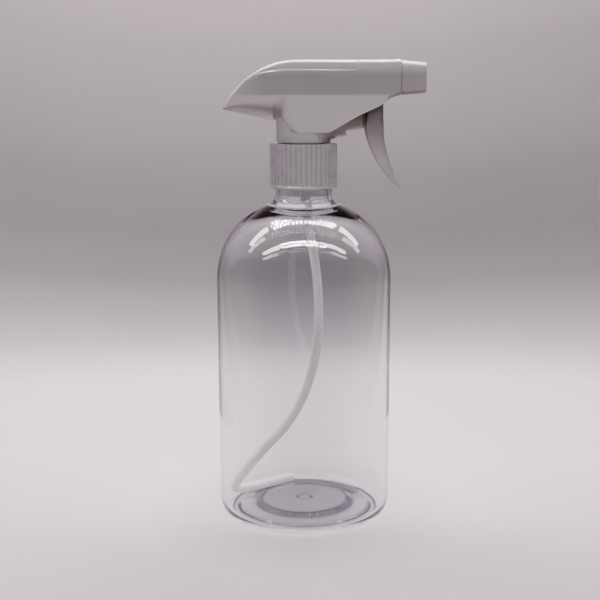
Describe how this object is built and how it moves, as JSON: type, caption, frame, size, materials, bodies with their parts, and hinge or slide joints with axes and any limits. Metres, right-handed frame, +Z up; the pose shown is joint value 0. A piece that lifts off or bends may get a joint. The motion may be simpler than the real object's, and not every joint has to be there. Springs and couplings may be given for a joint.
{
  "type": "trigger spray bottle",
  "caption": "Clear domed bottle with a white screw-on trigger sprayer: ribbed collar, finned cover, finger lever, turning square nozzle and curled dip tube.",
  "frame": {"origin": "middle of the whole object's footprint, on the surface that it stands on; the bottle's own axis is 7.15 mm behind it", "axes": "+Z up along the bottle, +X the way the nozzle sprays, +Y to its left"},
  "size_m": [0.0922, 0.078, 0.204],
  "materials": {
    "clear_pet": "clear, glossy blow-moulded PET",
    "white_pp": "white moulded polypropylene, satin gloss",
    "natural_pe": "uncoloured polyethylene, waxy",
    "milky_pe": "translucent uncoloured polyethylene tube",
    "steel": "bright stainless wire and ball"
  },
  "bodies": {
    "bottle": {"bottle": "clear_pet"},
    "gasket": {"neck_gasket": "natural_pe"},
    "collar": {"closure_collar": "white_pp"},
    "sprayer": {"pump_body": "white_pp", "shroud": "white_pp", "tube_retainer": "natural_pe", "dip_tube": "milky_pe", "return_spring": "steel", "discharge_spring": "steel", "orifice_insert": "natural_pe", "nozzle_seal": "natural_pe"},
    "trigger": {"trigger": "white_pp"},
    "piston": {"piston": "natural_pe", "piston_seal": "natural_pe"},
    "inlet_ball": {"inlet_ball": "steel"},
    "discharge_valve": {"discharge_valve": "natural_pe"},
    "nozzle": {"nozzle_cap": "white_pp"}
  },
  "joints": [
    {"name": "sprayer_rise", "type": "slide", "parent": "bottle", "child": "gasket", "axis": [0, 0, 1], "range_m": [0, 0.00635]},
    {"name": "collar_turn", "type": "hinge", "parent": "gasket", "child": "collar", "pos_m": [-0.00715, 0, 0.155], "axis": [0, 0, 1], "range_deg": [0, 540]},
    {"name": "head_swivel", "type": "hinge", "parent": "gasket", "child": "sprayer", "pos_m": [-0.00715, 0, 0.17], "axis": [0, 0, 1], "continuous": true},
    {"name": "trigger_pull", "type": "hinge", "parent": "sprayer", "child": "trigger", "pos_m": [0.02455, 0, 0.1913], "axis": [0, 1, 0], "range_deg": [0, 22], "stiffness_Nm_per_rad": 0.05, "springref_deg": -20.05},
    {"name": "piston_slide", "type": "slide", "parent": "sprayer", "child": "piston", "axis": [-0.994, 0, -0.1097], "range_m": [0, 0.0058], "deforming": ["return_spring"]},
    {"name": "inlet_ball_lift", "type": "slide", "parent": "sprayer", "child": "inlet_ball", "axis": [0, 0, 1], "range_m": [0, 0.0008]},
    {"name": "discharge_valve_open", "type": "slide", "parent": "sprayer", "child": "discharge_valve", "axis": [1, 0, 0], "range_m": [0, 0.001], "stiffness_N_per_m": 5, "springref_m": -0.001, "deforming": ["discharge_spring"]},
    {"name": "nozzle_turn", "type": "hinge", "parent": "sprayer", "child": "nozzle", "pos_m": [0.041, 0, 0.1964], "axis": [1, 0, 0], "continuous": true}
  ],
  "couplings": [
    {"joint": "collar_turn", "follows": "sprayer_rise", "rad_per_m": 1484.2},
    {"joint": "piston_slide", "follows": "trigger_pull", "m_per_rad": 0.015}
  ]
}
